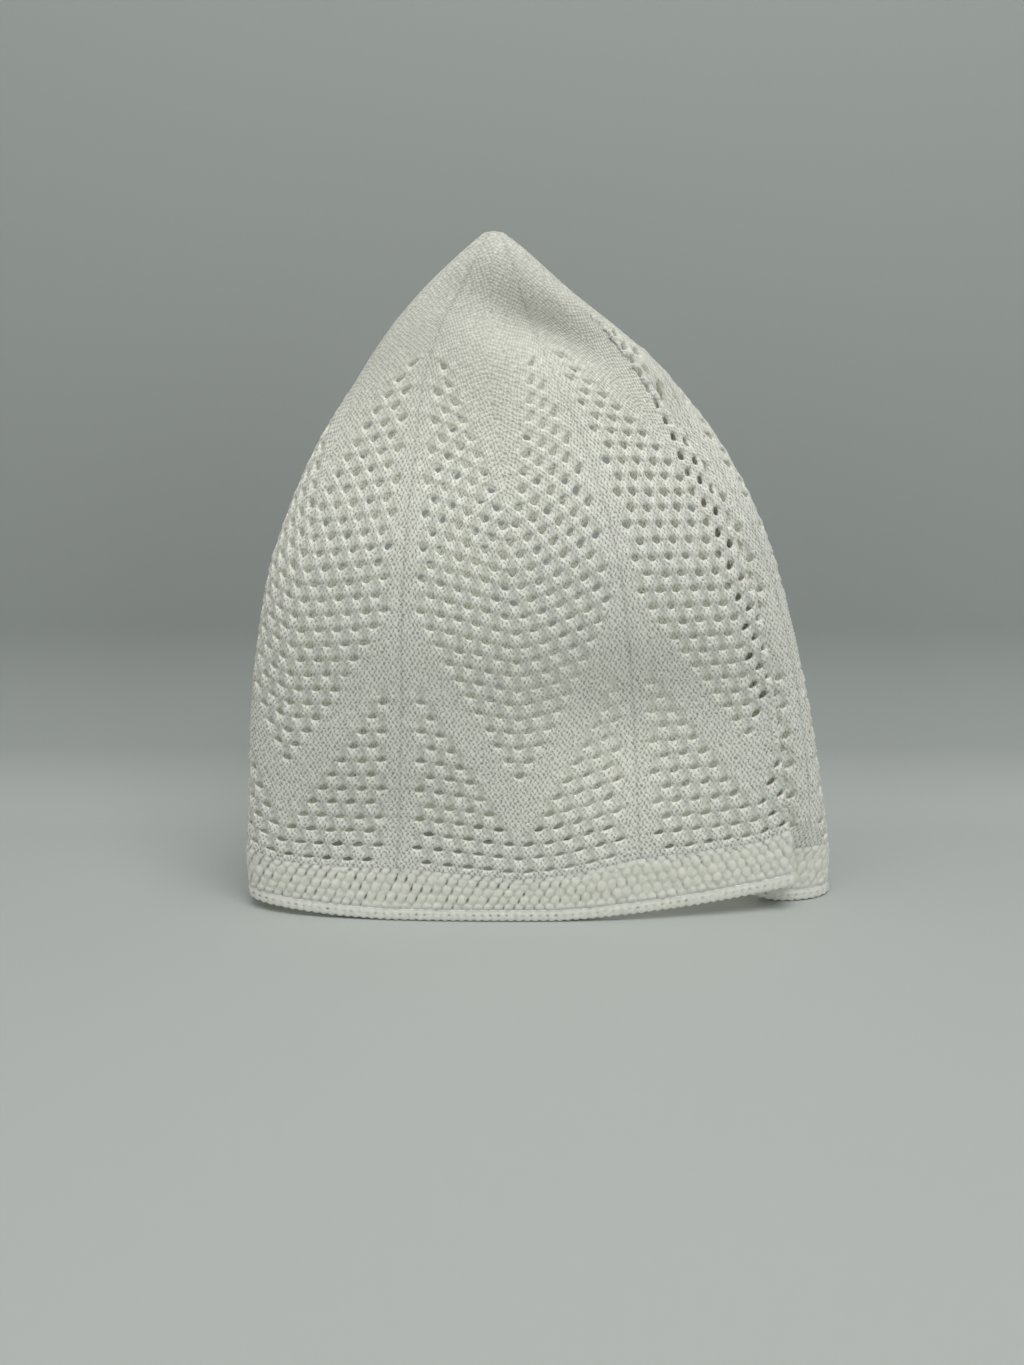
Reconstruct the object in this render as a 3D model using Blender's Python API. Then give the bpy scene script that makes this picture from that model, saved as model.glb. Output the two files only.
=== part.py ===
"""Pointed openwork prayer cap, standing on its rim: crown, rim band and chain edge.

The cap is one closed form. Every level has a plan curve that starts at the front axis, runs
right along the flat front, goes back in a hidden tuck, comes out as the rear layer and returns
round the back. Fabric places (columns and rows) are laid on that form. Lengths are in mm.
"""
import math

import bmesh
import bpy
import numpy as np

MM = 0.001

# Gauge of the knitting
SECTORS = 6                 # gores round the crown
COLUMNS = 24                # half pitches of the lace in one gore, at the rim
TOP_ROW = 40.0              # lace rows from the lowest point of the motif to the tip
RIM_ROW = -11.0             # row of the resting edge
EDGE_ROW = -10.2            # row between edge and band
BAND_ROW = -7.6             # row between band and crown

# Thicknesses
CROWN_WALL = 1.5
BAND_WALL = 2.6
JOIN_GAP = 0.3
TIP_RISE = 0.8
TIP_WALL = 1.6

# Levels of the form: height, left end, right end, crease of the front layer, front axis,
# how far the front stands forward of the side ends, how far the back stands behind them
LEVELS = (
    (0.0, -95.2, 97.4, 82.6, -7.4, 15.0, 56.0),
    (16.0, -96.0, 96.6, 81.0, -7.4, 14.5, 57.0),
    (34.0, -94.6, 93.2, 78.2, -7.4, 14.0, 56.0),
    (66.0, -92.0, 86.4, 72.6, -7.6, 15.0, 53.0),
    (97.0, -87.0, 77.4, 66.0, -8.8, 18.0, 50.0),
    (112.0, -83.4, 72.6, 60.8, -9.6, 18.0, 47.0),
    (127.0, -78.0, 66.2, 54.8, -10.6, 16.5, 42.0),
    (148.5, -67.9, 54.2, 43.2, -13.0, 12.0, 36.0),
    (166.0, -56.5, 40.6, 31.0, -16.0, 7.5, 32.0),
    (180.0, -47.0, 24.0, 21.2, -17.0, 3.5, 27.0),
    (193.0, -35.7, 7.0, 5.0, -16.0, -0.5, 21.0),
    (206.0, -21.2, -8.4, -9.4, -14.8, -4.5, 12.5),
    (209.0, -17.4, -12.6, -13.2, -15.0, -6.5, 10.0),
)
FORM_TOP = 209.0
FRONT_SQUARE = 2.5          # superellipse powers of the front and the back
BACK_SQUARE = 2.15
LEAN_START = 112.0          # above this height the side ends lean back
LEAN_DEPTH = 8.0

# Tuck behind the front layer: height, depth of the tuck, space between layers
TUCK = (
    (0.0, 12.5, 3.9),
    (15.0, 10.5, 3.8),
    (32.0, 7.0, 2.8),
    (127.0, 6.5, 2.7),
    (150.0, 5.5, 2.7),
    (170.0, 4.0, 2.7),
    (209.0, 3.2, 2.7),
)
TUCK_FADE = (150.0, 178.0)  # the tuck opens out between these heights
CREASE_BACK = 0.5           # share of the front's depth given back at the crease

# Rows of the fabric: row, height on the front axis, rise at the left end, rise at the crease,
# rise at the right end of the rear layer, chevron (gore edge above gore axis)
ROWS = (
    (RIM_ROW, 0.0, 3.2, 8.5, 0.0, 0.0),
    (EDGE_ROW, 3.8, 3.4, 9.2, 0.3, 0.0),
    (BAND_ROW, 14.0, 6.0, 12.5, 2.0, 3.0),
    (0.0, 48.0, 8.0, 15.5, 6.0, 5.5),
    (8.0, 84.8, 7.0, 15.0, 5.5, 7.0),
    (16.0, 120.4, 8.0, 17.0, 5.0, 9.0),
    (20.0, 138.0, 8.0, 16.0, 4.5, 10.0),
    (26.0, 162.0, 6.0, 10.0, 4.0, 10.5),
    (33.0, 187.4, 2.0, 3.0, 2.0, 7.0),
    (TOP_ROW, 209.0, 0.0, 0.0, 0.0, 0.0),
)
LEFT_LIFT = (0.45, 1.5)     # share of the left half that stays down, power of the lift beyond
RIGHT_LIFT = (0.12, 1.3)

# Soft hollows of the front: x, height, half length, half width, turn in degrees, depth
HOLLOWS = (
    (26.0, 66.0, 30.0, 24.0, 0.0, 3.0),
    (-55.0, 30.0, 30.0, 20.0, 0.0, 1.8),
    (6.0, 187.0, 24.0, 5.5, -27.0, 2.6),
)

# Openwork gaps: columns of gaps in a gore, and the size of a gap in its block
GAP_COLUMNS = (-8, -4, 0, 4, 8)
TRIANGLE_COLUMNS = (-8, 8)
GAP_HALF_WIDTH = 0.64
GAP_HALF_HEIGHT = 0.74
GAP_CORNER = 0.42

# Mesh rows: steps in the lower triangles, the plain zigzag, the motif and the top
TRIANGLE_STEPS = 4
ZIGZAG_STEPS = 2
MOTIF_STEPS = 6
MOTIF_ROWS = 16.0
ZIGZAG_ROWS = 6.0
TOP_SHARES = (0.2, 0.38, 0.55, 0.7, 0.83, 0.93, 0.99)
COARSE_FROM = 2             # top steps from here on use every second column
COLUMN_STEP = 2
TUCK_COLUMNS = (26, 34)     # columns where the hidden tuck starts and ends
TUCK_STEPS = (5, 2, 5, 2)   # mesh steps in the crease, the tuck, its far turn and the way out

# Profiles of the rim pieces: share of height, distance out from the middle of the wall
BAND_PROFILE = ((0.0, 1.0), (0.2, 1.3), (0.8, 1.3), (1.0, 0.9), (1.0, -0.9), (0.0, -1.0))
EDGE_PROFILE = ((0.0, 1.1), (0.3, 1.6), (0.75, 1.6), (1.0, 1.0), (1.0, -1.0), (0.5, -1.4),
                (0.0, -1.1))

LEVEL_COUNT = 106
ROUND_COUNT = 960

YARN_WHITE = (0.86, 0.87, 0.85, 1.0)


def curve_through(rows, at):
    """Values of a table at the given first-column places, by a curve that never overshoots."""
    rows = np.asarray(rows, dtype=float)
    xs, ys = rows[:, 0], rows[:, 1:]
    span = np.diff(xs)
    slope = np.diff(ys, axis=0) / span[:, None]
    tangent = np.zeros_like(ys)
    tangent[0], tangent[-1] = slope[0], slope[-1]
    for k in range(1, len(xs) - 1):
        before, after = slope[k - 1], slope[k]
        same = before * after > 0
        wa = 2 * span[k] + span[k - 1]
        wb = span[k] + 2 * span[k - 1]
        safe_before = np.where(same, before, 1.0)
        safe_after = np.where(same, after, 1.0)
        tangent[k] = np.where(same, (wa + wb) / (wa / safe_before + wb / safe_after), 0.0)
    at = np.clip(np.asarray(at, dtype=float), xs[0], xs[-1])
    k = np.clip(np.searchsorted(xs, at, side="right") - 1, 0, len(xs) - 2)
    t = ((at - xs[k]) / span[k])[..., None]
    h = span[k][..., None]
    return ((2 * t**3 - 3 * t**2 + 1) * ys[k] + (t**3 - 2 * t**2 + t) * h * tangent[k]
            + (3 * t**2 - 2 * t**3) * ys[k + 1] + (t**3 - t**2) * h * tangent[k + 1])


def ease(t):
    """Smooth step from 0 to 1."""
    t = np.clip(t, 0.0, 1.0)
    return t * t * (3 - 2 * t)


def quarter(x0, y0, x1, y1, power, count, leaves_along_y):
    """Superellipse quarter between two points."""
    t = np.linspace(0.0, math.pi / 2, count + 1)
    c = np.cos(t) ** (2 / power)
    s = np.sin(t) ** (2 / power)
    if leaves_along_y:
        return x1 + (x0 - x1) * c, y0 + (y1 - y0) * s
    return x0 + (x1 - x0) * s, y1 + (y0 - y1) * c


def half_turn(cx, cy, radius, start, end):
    """Half circle used where the cloth turns back on itself."""
    a = np.radians(np.linspace(start, end, 13))
    return cx + radius * np.cos(a), cy + radius * np.sin(a)


def line(x0, y0, x1, y1, count=13):
    """Straight run of points."""
    u = np.linspace(0.0, 1.0, count)
    return x0 + (x1 - x0) * u, y0 + (y1 - y0) * u


def plan(height, tucked):
    """Plan curve at a height from the front axis round to the left and back to the start.

    Returns x, y, the index of each joint of its runs, and the level's named sizes.
    """
    left, right, crease, axis, front, back = curve_through(LEVELS, [height])[0]
    depth, space = curve_through(TUCK, [height])[0]
    side = LEAN_DEPTH * max(0.0, height - LEAN_START) / (FORM_TOP - LEAN_START)
    fore = -front
    middle = 0.5 * (left + right)
    if tucked:
        r = space / 2
        crease_y = fore + CREASE_BACK * (side - fore)
        end = crease - r
        inner = min(crease - depth + r, end - 0.05)
        out = crease - 2.5
        right_y = crease_y + 4 * r + min(9.0, 0.8 * (right - out))
        u = np.linspace(0.0, 1.0, 91)
        runs = [
            (axis + (end - axis) * u, fore + (crease_y - fore) * u**2.2),
            half_turn(end, crease_y + r, r, -90, 90),
            line(end, crease_y + 2 * r, inner, crease_y + 2 * r),
            half_turn(inner, crease_y + 3 * r, r, 270, 90),
            line(inner, crease_y + 4 * r, out, crease_y + 4 * r),
            quarter(out, crease_y + 4 * r, right, right_y, 2.0, 24, False),
        ]
    else:
        right_y = side
        runs = [quarter(axis, fore, right, side, FRONT_SQUARE, 90, False)]
    runs.append(quarter(right, right_y, middle, back, BACK_SQUARE, 90, True))
    runs.append(quarter(middle, back, left, side, BACK_SQUARE, 90, False))
    runs.append(quarter(left, side, axis, fore, FRONT_SQUARE, 90, True))
    xs, ys, joints = [runs[0][0]], [runs[0][1]], [len(runs[0][0]) - 1]
    for x, y in runs[1:]:
        xs.append(x[1:])
        ys.append(y[1:])
        joints.append(joints[-1] + len(x) - 1)
    return np.concatenate(xs), np.concatenate(ys), joints, (left, right, crease, axis)


def spread(x, y, count):
    """Points spaced evenly by length along a closed curve, with the lengths of its points."""
    s = np.concatenate([[0.0], np.cumsum(np.hypot(np.diff(x), np.diff(y)))])
    at = np.arange(count) / count * s[-1]
    return np.interp(at, s, x), np.interp(at, s, y), s / s[-1]


class Form:
    """The cap's middle surface, tabled by height and share of the way round."""

    def __init__(self):
        self.heights = np.linspace(0.0, FORM_TOP, LEVEL_COUNT)
        shape = (LEVEL_COUNT, ROUND_COUNT)
        self.x, self.y = np.zeros(shape), np.zeros(shape)
        self.left, self.crease, self.rear = np.zeros(shape), np.zeros(shape), np.zeros(shape)
        self.fore = np.zeros(shape)
        self.tuck = np.zeros((LEVEL_COUNT, 5))
        share = np.arange(ROUND_COUNT) / ROUND_COUNT
        for k, height in enumerate(self.heights):
            x, y, joints, (left, right, crease, axis) = plan(height, True)
            fx, fy, s = spread(x, y, ROUND_COUNT)
            self.tuck[k] = s[joints[:5]]
            sx, sy, _ = spread(*plan(height, False)[:2], ROUND_COUNT)
            opened = ease((height - TUCK_FADE[0]) / (TUCK_FADE[1] - TUCK_FADE[0]))
            x = fx + (sx - fx) * opened
            y = fy + (sy - fy) * opened
            self.x[k], self.y[k] = x, y
            start, end = self.tuck[k, 0], self.tuck[k, 4]
            on_left = np.clip((axis - x) / (axis - left), 0.0, 1.0)
            lift = np.clip((on_left - LEFT_LIFT[0]) / (1 - LEFT_LIFT[0]), 0.0, 1.0)
            self.left[k] = np.where(share > 0.4, lift ** LEFT_LIFT[1], 0.0)
            on_right = np.clip((x - axis) / (crease - axis), 0.0, 1.0)
            lift = np.clip((on_right - RIGHT_LIFT[0]) / (1 - RIGHT_LIFT[0]), 0.0, 1.0)
            hidden = ease((share - start) / (end - start))
            self.crease[k] = np.where(share <= start, lift ** RIGHT_LIFT[1], 1 - hidden)
            self.crease[k] *= share < 0.4
            on_rear = np.clip((x - axis) / (right - axis), 0.0, 1.0) ** 1.5
            self.rear[k] = np.where(share <= start, 0.0, np.where(share < end, hidden, on_rear))
            self.rear[k] *= share < 0.7
            on_front = (share < start) | (share > 0.72)
            self.fore[k] = on_front * np.clip((3.0 - y) / 10.0, 0.0, 1.0)

    def look(self, table, share, height):
        """Read a table between its levels and its places round the curve."""
        at = np.mod(share, 1.0) * ROUND_COUNT
        i = np.floor(at).astype(int)
        u = at - i
        i0, i1 = i % ROUND_COUNT, (i + 1) % ROUND_COUNT
        level = np.clip(height / FORM_TOP, 0.0, 1.0) * (LEVEL_COUNT - 1)
        k = np.minimum(level.astype(int), LEVEL_COUNT - 2)
        v = level - k
        low = table[k, i0] * (1 - u) + table[k, i1] * u
        high = table[k + 1, i0] * (1 - u) + table[k + 1, i1] * u
        return low * (1 - v) + high * v

    def place(self, share, row):
        """Middle of the wall at a share of the way round and a row of the fabric."""
        share, row = np.broadcast_arrays(np.asarray(share, float), np.asarray(row, float))
        base, left, crease, rear, chevron = np.moveaxis(curve_through(ROWS, row), -1, 0)
        from_axis = np.abs(np.mod(share * SECTORS + 0.5, 1.0) - 0.5) * 2
        base = base + chevron * from_axis
        z = base
        for _ in range(5):
            z = (base + left * self.look(self.left, share, z)
                 + crease * self.look(self.crease, share, z)
                 + rear * self.look(self.rear, share, z))
            z = np.minimum(z, FORM_TOP)
        x = self.look(self.x, share, z)
        y = self.look(self.y, share, z)
        fore = self.look(self.fore, share, z)
        for cx, cz, long, wide, turn, depth in HOLLOWS:
            c, s = math.cos(math.radians(turn)), math.sin(math.radians(turn))
            u = ((x - cx) * c + (z - cz) * s) / long
            v = ((z - cz) * c - (x - cx) * s) / wide
            y = y + depth * fore * np.exp(-u * u - v * v)
        return np.stack([x, y, z], axis=-1)

    def outward(self, share, row, level_only=False):
        """Unit direction out of the cap, flat if asked."""
        along = self.place(share + 0.0008, row) - self.place(share - 0.0008, row)
        if level_only:
            along[..., 2] = 0.0
            up = np.zeros_like(along)
            up[..., 2] = 1.0
        else:
            low = np.maximum(row - 0.3, RIM_ROW)
            high = np.minimum(row + 0.3, TOP_ROW)
            up = self.place(share, high) - self.place(share, low)
        n = np.cross(along, up)
        return n / np.linalg.norm(n, axis=-1, keepdims=True)

    def share_of(self, column, row):
        """Share of the way round of a mesh column, which keeps clear of the tuck's turns."""
        column, row = np.broadcast_arrays(np.asarray(column, float), np.asarray(row, float))
        share = column / (SECTORS * COLUMNS)
        first, last = TUCK_COLUMNS
        steps = np.cumsum((0,) + TUCK_STEPS) / sum(TUCK_STEPS) * (last - first) + first
        knots = np.concatenate([[0.0], steps, [SECTORS * COLUMNS / 2]])
        for _ in range(4):
            z = self.place(share, row)[..., 2]
            at = z / FORM_TOP * (LEVEL_COUNT - 1)
            turns = [np.interp(at, np.arange(LEVEL_COUNT), self.tuck[:, q]) for q in range(5)]
            marks = [np.zeros_like(share)] + turns + [np.full_like(share, 0.5)]
            warped = column / (SECTORS * COLUMNS)
            for q in range(6):
                inside = (column >= knots[q]) & (column <= knots[q + 1])
                part = (column - knots[q]) / (knots[q + 1] - knots[q])
                warped = np.where(inside, marks[q] + (marks[q + 1] - marks[q]) * part, warped)
            share = warped
        return share


def mesh_columns():
    """Columns of the mesh: even steps, with closer ones through the tuck."""
    first, last = TUCK_COLUMNS
    inside = np.linspace(first, last, sum(TUCK_STEPS) + 1)[1:-1]
    before = np.arange(0, first + 1, COLUMN_STEP)
    after = np.arange(last, SECTORS * COLUMNS, COLUMN_STEP)
    return np.concatenate([before, inside, after]).astype(float)


def mesh_rows(columns):
    """Rows of the mesh at each column: they follow the motif's chevrons between rim and tip."""
    reach = np.abs(np.mod(columns + COLUMNS / 2, COLUMNS) - COLUMNS / 2)
    foot = np.full_like(reach, BAND_ROW)
    lines = [foot]
    triangle_top = reach - ZIGZAG_ROWS
    for k in range(1, TRIANGLE_STEPS + 1):
        lines.append(foot + (triangle_top - foot) * k / TRIANGLE_STEPS)
    for k in range(1, ZIGZAG_STEPS + 1):
        lines.append(triangle_top + ZIGZAG_ROWS * k / ZIGZAG_STEPS)
    for k in range(1, MOTIF_STEPS + 1):
        lines.append(reach + MOTIF_ROWS * k / MOTIF_STEPS)
    motif_top = reach + MOTIF_ROWS
    for share in TOP_SHARES:
        lines.append(motif_top + (TOP_ROW - motif_top) * share)
    return np.array(lines)


def gap_blocks(columns):
    """Blocks of two columns by two rows that hold a gap: middle column index, lower row index."""
    blocks = []
    motif_start = TRIANGLE_STEPS + ZIGZAG_STEPS
    hidden = TUCK_COLUMNS
    for gore in range(SECTORS):
        for step in GAP_COLUMNS:
            column = (gore * COLUMNS + step) % (SECTORS * COLUMNS)
            if hidden[0] < column + 2 and column - 2 < hidden[1]:
                continue
            index = int(np.argmin(np.abs(columns - column)))
            rows = list(range(motif_start, motif_start + MOTIF_STEPS, 2))
            if step in TRIANGLE_COLUMNS:
                rows += list(range(0, TRIANGLE_STEPS, 2))
            blocks += [(index, row) for row in rows]
    return blocks


def crown_mesh(form):
    """Vertices and faces of the crown: a thin shell with the openwork cut through."""
    columns = mesh_columns()
    rows = mesh_rows(columns)
    count, tall = len(columns), len(rows)
    points = []
    faces = []

    def add_pair(column, row, level_only=False):
        """Add the outer and the inner point of each place; return the first index."""
        share = form.share_of(column, row)
        middle = form.place(share, row)
        out = form.outward(share, row, level_only) * CROWN_WALL / 2
        start = sum(len(p) for p in points)
        points.append(middle + out)
        points.append(middle - out)
        return start

    ring_start = []
    for k in range(tall):
        ring_start.append(add_pair(columns, rows[k], level_only=(k == 0)))

    def node(k, i, inner):
        return ring_start[k] + (count if inner else 0) + i % count

    blocks = gap_blocks(columns)
    covered = set()
    for index, row in blocks:
        for di in (-1, 0):
            for dk in (0, 1):
                covered.add(((index + di) % count, row + dk))

    coarse = tall - len(TOP_SHARES) + COARSE_FROM
    for k in range(tall - 1):
        stride = 2 if k + 1 >= coarse else 1
        fine_below = stride == 2 and k + 1 == coarse
        for i in range(0, count, stride):
            if (i, k) in covered:
                continue
            for inner in (False, True):
                if fine_below:
                    ring = [node(k, i, inner), node(k, i + 1, inner), node(k, i + 2, inner),
                            node(k + 1, i + 2, inner), node(k + 1, i, inner)]
                    tris = [(ring[0], ring[1], ring[4]), (ring[1], ring[2], ring[3]),
                            (ring[1], ring[3], ring[4])]
                else:
                    a, b = node(k, i, inner), node(k, i + stride, inner)
                    c, d = node(k + 1, i + stride, inner), node(k + 1, i, inner)
                    tris = [(a, b, c), (a, c, d)]
                faces += [t[::-1] if inner else t for t in tris]

    for index, row in blocks:
        around = [(index - 1, row), (index, row), (index + 1, row), (index + 1, row + 1),
                  (index + 1, row + 2), (index, row + 2), (index - 1, row + 2),
                  (index - 1, row + 1)]
        size = (GAP_CORNER, GAP_HALF_HEIGHT, GAP_CORNER, GAP_HALF_WIDTH,
                GAP_CORNER, GAP_HALF_HEIGHT, GAP_CORNER, GAP_HALF_WIDTH)
        centre_column, centre_row = columns[index], rows[row + 1, index]
        hole_columns, hole_rows = [], []
        for (i, k), part in zip(around, size):
            column = columns[i % count]
            offset = np.mod(column - centre_column + 72, SECTORS * COLUMNS) - 72
            hole_columns.append(np.mod(centre_column + part * offset, SECTORS * COLUMNS))
            hole_rows.append(centre_row + part * (rows[k, i % count] - centre_row))
        start = add_pair(np.array(hole_columns), np.array(hole_rows))
        for q in range(8):
            p = (q + 1) % 8
            (i0, k0), (i1, k1) = around[q], around[p]
            for inner in (False, True):
                shift = 8 if inner else 0
                a, b = node(k0, i0, inner), node(k1, i1, inner)
                c, d = start + shift + p, start + shift + q
                quad = [(a, b, c), (a, c, d)]
                faces += [t[::-1] if inner else t for t in quad]
            a, b = start + q, start + p
            faces += [(a, b, b + 8), (a, b + 8, a + 8)]

    for i in range(count):
        a, b = node(0, i, False), node(0, i + 1, False)
        c, d = node(0, i + 1, True), node(0, i, True)
        faces += [(a, c, b), (a, d, c)]

    top = tall - 1
    for inner in (False, True):
        ring = [node(top, i, inner) for i in range(0, count, 2)]
        block = points[2 * top + (1 if inner else 0)]
        tip = block[::2].mean(axis=0)
        tip[2] = FORM_TOP + (TIP_RISE if not inner else TIP_RISE - TIP_WALL)
        tip_index = sum(len(p) for p in points)
        points.append(tip[None, :])
        for q in range(len(ring)):
            t = (ring[q], ring[(q + 1) % len(ring)], tip_index)
            faces.append(t[::-1] if inner else t)
    return np.concatenate(points), faces


def rim_mesh(form, low_row, high_row, low_gap, high_gap, profile):
    """Closed ring that follows the rim with a given profile."""
    columns = mesh_columns()
    share_low = form.share_of(columns, np.full_like(columns, low_row))
    share_high = form.share_of(columns, np.full_like(columns, high_row))
    low = form.place(share_low, low_row)
    high = form.place(share_high, high_row)
    low[:, 2] += low_gap
    high[:, 2] -= high_gap
    out_low = form.outward(share_low, np.full_like(columns, low_row), True)
    out_high = form.outward(share_high, np.full_like(columns, high_row), True)
    points, faces = [], []
    for part, out in profile:
        direction = out_low + (out_high - out_low) * part
        direction /= np.linalg.norm(direction, axis=1, keepdims=True)
        points.append(low + (high - low) * part + direction * out)
    count, sides = len(columns), len(profile)
    for s in range(sides):
        t = (s + 1) % sides
        for i in range(count):
            j = (i + 1) % count
            a, b = s * count + i, s * count + j
            c, d = t * count + j, t * count + i
            faces += [(a, b, c), (a, c, d)]
    return np.concatenate(points), faces


def yarn_material(name, colour, roughness):
    """Plain off-white yarn."""
    material = bpy.data.materials.new(name)
    material.use_nodes = True
    shader = material.node_tree.nodes["Principled BSDF"]
    shader.inputs["Base Color"].default_value = colour
    shader.inputs["Roughness"].default_value = roughness
    shader.inputs["Metallic"].default_value = 0.0
    return material


def add_piece(name, points, faces, shift, colour, roughness):
    """Make one named closed body from points in mm."""
    mesh = bpy.data.meshes.new(name)
    mesh.from_pydata([tuple(p) for p in (points - shift) * MM], [], faces)
    mesh.update()
    body = bmesh.new()
    body.from_mesh(mesh)
    loose = [v for v in body.verts if not v.link_faces]
    bmesh.ops.delete(body, geom=loose, context="VERTS")
    bmesh.ops.recalc_face_normals(body, faces=body.faces)
    body.to_mesh(mesh)
    body.free()
    for polygon in mesh.polygons:
        polygon.use_smooth = True
    mesh.set_sharp_from_angle(angle=math.radians(50))
    obj = bpy.data.objects.new(name, mesh)
    bpy.context.scene.collection.objects.link(obj)
    obj.data.materials.append(yarn_material(name + "_yarn", colour, roughness))
    return obj


def main():
    for obj in list(bpy.data.objects):
        bpy.data.objects.remove(obj, do_unlink=True)
    form = Form()
    crown_points, crown_faces = crown_mesh(form)
    band_points, band_faces = rim_mesh(form, EDGE_ROW, BAND_ROW, JOIN_GAP / 2, JOIN_GAP,
                                       BAND_PROFILE)
    edge_points, edge_faces = rim_mesh(form, RIM_ROW, EDGE_ROW, 0.0, JOIN_GAP / 2, EDGE_PROFILE)
    everything = np.concatenate([crown_points, band_points, edge_points])
    low, high = everything.min(axis=0), everything.max(axis=0)
    shift = np.array([(low[0] + high[0]) / 2, (low[1] + high[1]) / 2, 0.0])
    add_piece("crown", crown_points, crown_faces, shift, YARN_WHITE, 0.55)
    add_piece("rim_band", band_points, band_faces, shift, YARN_WHITE, 0.6)
    add_piece("edge_chain", edge_points, edge_faces, shift, YARN_WHITE, 0.6)


main()
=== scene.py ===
"""Openwork knitted prayer cap standing on its rim: knitted gores, rim band, chain edge and stage.

The fabric is laid on the same form as the part's source. Lengths are in mm until a piece is made.
"""
import math

import bpy
import numpy as np
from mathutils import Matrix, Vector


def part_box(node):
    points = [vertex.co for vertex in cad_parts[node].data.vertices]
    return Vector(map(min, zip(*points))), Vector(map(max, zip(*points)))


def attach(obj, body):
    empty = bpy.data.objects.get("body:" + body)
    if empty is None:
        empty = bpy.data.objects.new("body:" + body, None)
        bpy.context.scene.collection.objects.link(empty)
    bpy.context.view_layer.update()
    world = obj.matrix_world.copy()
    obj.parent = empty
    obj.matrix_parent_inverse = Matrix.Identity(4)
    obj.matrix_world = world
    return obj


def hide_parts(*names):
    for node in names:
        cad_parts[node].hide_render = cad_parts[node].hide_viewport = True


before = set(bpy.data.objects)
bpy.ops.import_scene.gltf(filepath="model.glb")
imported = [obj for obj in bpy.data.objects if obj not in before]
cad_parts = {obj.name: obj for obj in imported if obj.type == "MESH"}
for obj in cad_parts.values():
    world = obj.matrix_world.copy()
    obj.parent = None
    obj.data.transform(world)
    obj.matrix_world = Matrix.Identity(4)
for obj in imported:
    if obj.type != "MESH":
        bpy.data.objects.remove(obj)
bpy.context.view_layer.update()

bl_info = {
    "name": "Openwork Prayer Cap",
    "version": (1, 0, 0),
    "blender": (4, 5, 0),
    "location": "View3D > Sidebar > Cap",
    "description": "Builds a pointed openwork knitted prayer cap and a plain stage",
    "category": "Object",
}

MM = 0.001

# Gauge of the knitting
SECTORS = 6
COLUMNS = 24
TOP_ROW = 40.0
RIM_ROW = -11.0
EDGE_ROW = -10.2
BAND_ROW = -7.6

# Levels of the form: height, left end, right end, crease, front axis, front depth, back depth
LEVELS = (
    (0.0, -95.2, 97.4, 82.6, -7.4, 15.0, 56.0),
    (16.0, -96.0, 96.6, 81.0, -7.4, 14.5, 57.0),
    (34.0, -94.6, 93.2, 78.2, -7.4, 14.0, 56.0),
    (66.0, -92.0, 86.4, 72.6, -7.6, 15.0, 53.0),
    (97.0, -87.0, 77.4, 66.0, -8.8, 18.0, 50.0),
    (112.0, -83.4, 72.6, 60.8, -9.6, 18.0, 47.0),
    (127.0, -78.0, 66.2, 54.8, -10.6, 16.5, 42.0),
    (148.5, -67.9, 54.2, 43.2, -13.0, 12.0, 36.0),
    (166.0, -56.5, 40.6, 31.0, -16.0, 7.5, 32.0),
    (180.0, -47.0, 24.0, 21.2, -17.0, 3.5, 27.0),
    (193.0, -35.7, 7.0, 5.0, -16.0, -0.5, 21.0),
    (206.0, -21.2, -8.4, -9.4, -14.8, -4.5, 12.5),
    (209.0, -17.4, -12.6, -13.2, -15.0, -6.5, 10.0),
)
FORM_TOP = 209.0
FRONT_SQUARE = 2.5
BACK_SQUARE = 2.15
LEAN_START = 112.0
LEAN_DEPTH = 8.0

# Tuck behind the front layer: height, depth of the tuck, space between layers
TUCK = (
    (0.0, 12.5, 3.9),
    (15.0, 10.5, 3.8),
    (32.0, 7.0, 2.8),
    (110.0, 6.6, 2.4),
    (127.0, 6.5, 1.4),
    (150.0, 5.5, 1.2),
    (170.0, 4.0, 1.2),
    (209.0, 3.2, 1.2),
)
TUCK_FADE = (150.0, 178.0)
OPEN_REACH = 0.16            # share of the way round over which the opened crease levels out
CREASE_BACK = 0.5            # how far the crease lies back from the front towards the side
FRONT_BEND = 2.2             # power of the front's bend towards the crease
TURN_GAP = 0.05              # least run of cloth between the tuck's two turns
REAR_START = 2.5             # how far left of the crease the rear layer comes out
REAR_DEPTH = 9.0             # most that the rear layer goes back on its way to the right end
REAR_SLOPE = 0.8

# Rows: row, height on the front axis, rise left, rise at the crease, rise rear right, chevron
ROWS = (
    (RIM_ROW, 0.0, 3.2, 8.5, 0.0, 0.0),
    (EDGE_ROW, 3.8, 3.4, 9.2, 0.3, 0.0),
    (BAND_ROW, 14.0, 6.0, 12.5, 2.0, 3.0),
    (0.0, 48.0, 8.0, 15.5, 6.0, 5.5),
    (8.0, 84.8, 7.0, 15.0, 5.5, 7.0),
    (16.0, 120.4, 8.0, 17.0, 5.0, 9.0),
    (20.0, 138.0, 8.0, 16.0, 4.5, 10.0),
    (26.0, 162.0, 6.0, 10.0, 4.0, 10.5),
    (33.0, 187.4, 2.0, 3.0, 2.0, 3.0),
    (TOP_ROW, 209.0, 0.0, 0.0, 0.0, 0.0),
)
EDGE_ROUND = 0.16            # how softly the chevrons of two gores meet
LEFT_LIFT = (0.45, 1.5)      # where a rise starts on its way to the end, and its power
RIGHT_LIFT = (0.12, 1.3)
REAR_LIFT_POWER = 1.5
RIGHT_END = 0.4              # shares of the way round where the right side and the rear end
REAR_END = 0.7
FRONT_START = 0.72           # and where the front starts again
FRONT_DEPTHS = (3.0, -7.0)   # depths over which the cloth comes to count as front
SOURCE_EDGE_OUT = 1.6        # how far the source's chain stands out from the form

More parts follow.
